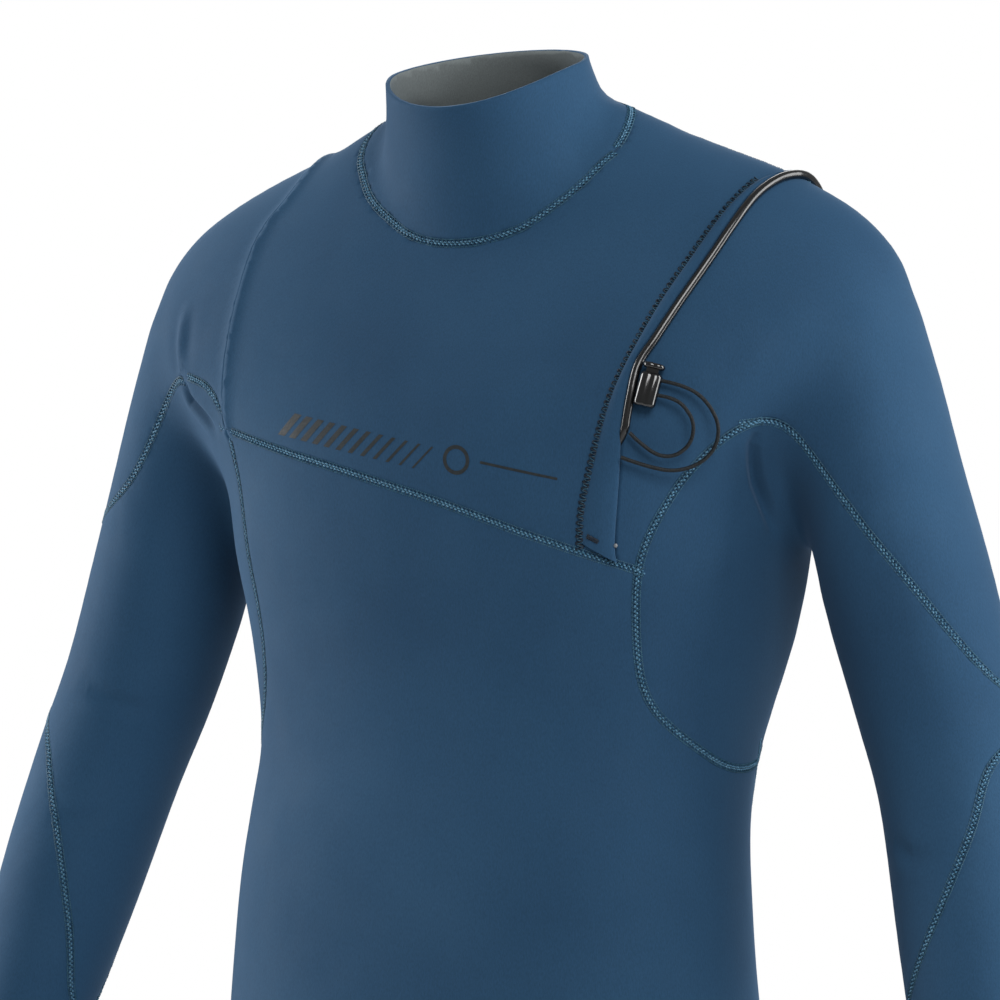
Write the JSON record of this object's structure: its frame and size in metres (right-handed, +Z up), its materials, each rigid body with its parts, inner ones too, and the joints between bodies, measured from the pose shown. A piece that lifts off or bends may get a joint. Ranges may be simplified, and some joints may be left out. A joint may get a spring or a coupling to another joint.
{
  "type": "full wetsuit",
  "caption": "Long-sleeved full wetsuit of neoprene panels with a high collar, an overlapping chest flap entry, a shoulder tube and a draw cord with a sliding lock.",
  "frame": {"origin": "on the floor under the ankle hems, on the suit's middle plane, midway between its front-most and back-most places", "axes": "+Z up, the wearer faces -Y, and +X is the wearer's left"},
  "size_m": [0.7174, 0.2304, 1.485],
  "materials": {
    "jersey": "matte knitted nylon on neoprene, navy blue",
    "knee_fabric": "matte abrasion-resistant knit",
    "lining": "matte grey knitted lining",
    "tube_rubber": "glossy black rubber",
    "cord": "black braided elastic cord",
    "lock_plastic": "glossy black moulded plastic",
    "spring_steel": "stainless steel wire"
  },
  "bodies": {
    "suit": {"collar": "jersey", "chest_flap_panel": "jersey", "upper_back_panel": "jersey", "front_torso_panel": "jersey", "back_torso_panel": "jersey", "crotch_gusset": "jersey", "left_shoulder_panel": "jersey", "left_underarm_side_panel": "jersey", "left_thigh_front_panel": "jersey", "left_thigh_back_panel": "jersey", "left_knee_pad": "knee_fabric", "left_shin_panel": "jersey", "left_calf_panel": "jersey", "left_ankle_cuff": "jersey", "left_forearm_panel": "jersey", "left_wrist_cuff": "jersey", "right_shoulder_panel": "jersey", "right_underarm_side_panel": "jersey", "right_thigh_front_panel": "jersey", "right_thigh_back_panel": "jersey", "right_knee_pad": "knee_fabric", "right_shin_panel": "jersey", "right_calf_panel": "jersey", "right_ankle_cuff": "jersey", "right_forearm_panel": "jersey", "right_wrist_cuff": "jersey", "flap_hem": "jersey", "inner_barrier": "lining", "shoulder_tube": "tube_rubber", "shoulder_tube_anchor": "jersey", "flap_corner_bead": "lock_plastic", "draw_cord_outer": "cord", "draw_cord_inner": "cord"},
    "cord_lock": {"cord_lock_body": "lock_plastic", "cord_lock_spring": "spring_steel"},
    "lock_button": {"cord_lock_button": "lock_plastic"}
  },
  "joints": [
    {"name": "cord_lock_slide", "type": "slide", "parent": "suit", "child": "cord_lock", "axis": [0.9382, 0.2499, -0.2393], "range_m": [0, 0.006]},
    {"name": "lock_button_press", "type": "slide", "parent": "cord_lock", "child": "lock_button", "axis": [-0.1896, -0.2072, -0.9598], "range_m": [0, 0.002], "stiffness_N_per_m": 800, "springref_m": -0.001, "deforming": ["cord_lock_spring"]}
  ]
}
